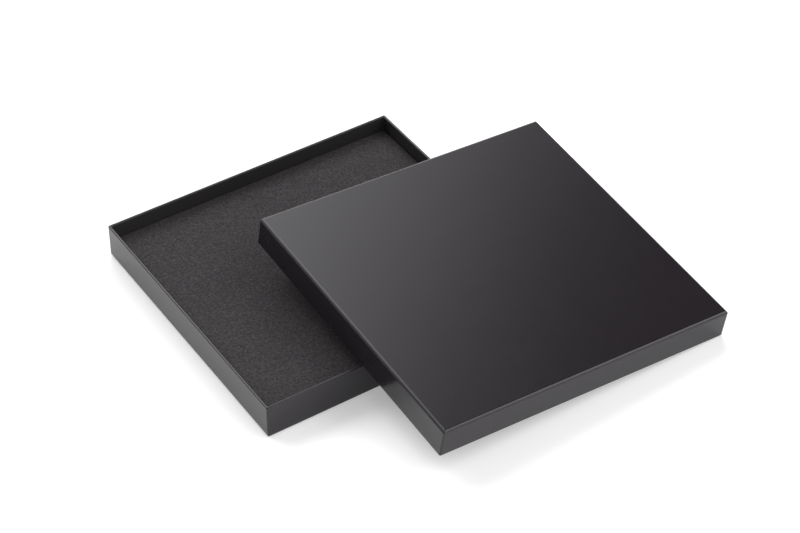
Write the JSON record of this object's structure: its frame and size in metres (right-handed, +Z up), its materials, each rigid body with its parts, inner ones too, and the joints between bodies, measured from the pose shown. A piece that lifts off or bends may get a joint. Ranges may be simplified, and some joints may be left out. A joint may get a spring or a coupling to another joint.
{
  "type": "rigid gift box",
  "caption": "Shallow two-piece board box wrapped in dark paper, with a flat foam pad in the base and its lift-off lid leaning across one corner.",
  "frame": {"origin": "centre of the base tray's underside, on the surface that it stands on", "axes": "+Z up; +X along the base's longer side, to the right; -Y towards the front"},
  "size_m": [0.2307, 0.2297, 0.046],
  "materials": {
    "wrapping_paper": "satin",
    "lining_paper": "matte",
    "grey_board": "matte",
    "kraft_tape": "matte",
    "foam": "matte"
  },
  "bodies": {
    "base": {"base_bottom_board": "grey_board", "base_front_wall_board": "grey_board", "base_back_wall_board": "grey_board", "base_left_wall_board": "grey_board", "base_right_wall_board": "grey_board", "base_front_left_corner_stay": "kraft_tape", "base_front_right_corner_stay": "kraft_tape", "base_back_left_corner_stay": "kraft_tape", "base_back_right_corner_stay": "kraft_tape", "base_wrap_paper": "wrapping_paper", "base_liner_paper": "lining_paper"},
    "foam": {"foam_pad": "foam"},
    "lid": {"lid_top_board": "grey_board", "lid_front_wall_board": "grey_board", "lid_back_wall_board": "grey_board", "lid_left_wall_board": "grey_board", "lid_right_wall_board": "grey_board", "lid_front_left_corner_stay": "kraft_tape", "lid_front_right_corner_stay": "kraft_tape", "lid_back_left_corner_stay": "kraft_tape", "lid_back_right_corner_stay": "kraft_tape", "lid_wrap_paper": "wrapping_paper", "lid_liner_paper": "lining_paper"}
  },
  "joints": [
    {"name": "lid_lift", "type": "slide", "parent": "base", "child": "lid", "axis": [0, 0, 1], "range_m": [0, 0.12]},
    {"name": "foam_lift", "type": "slide", "parent": "base", "child": "foam", "axis": [0, 0, 1], "range_m": [0, 0.008]}
  ]
}
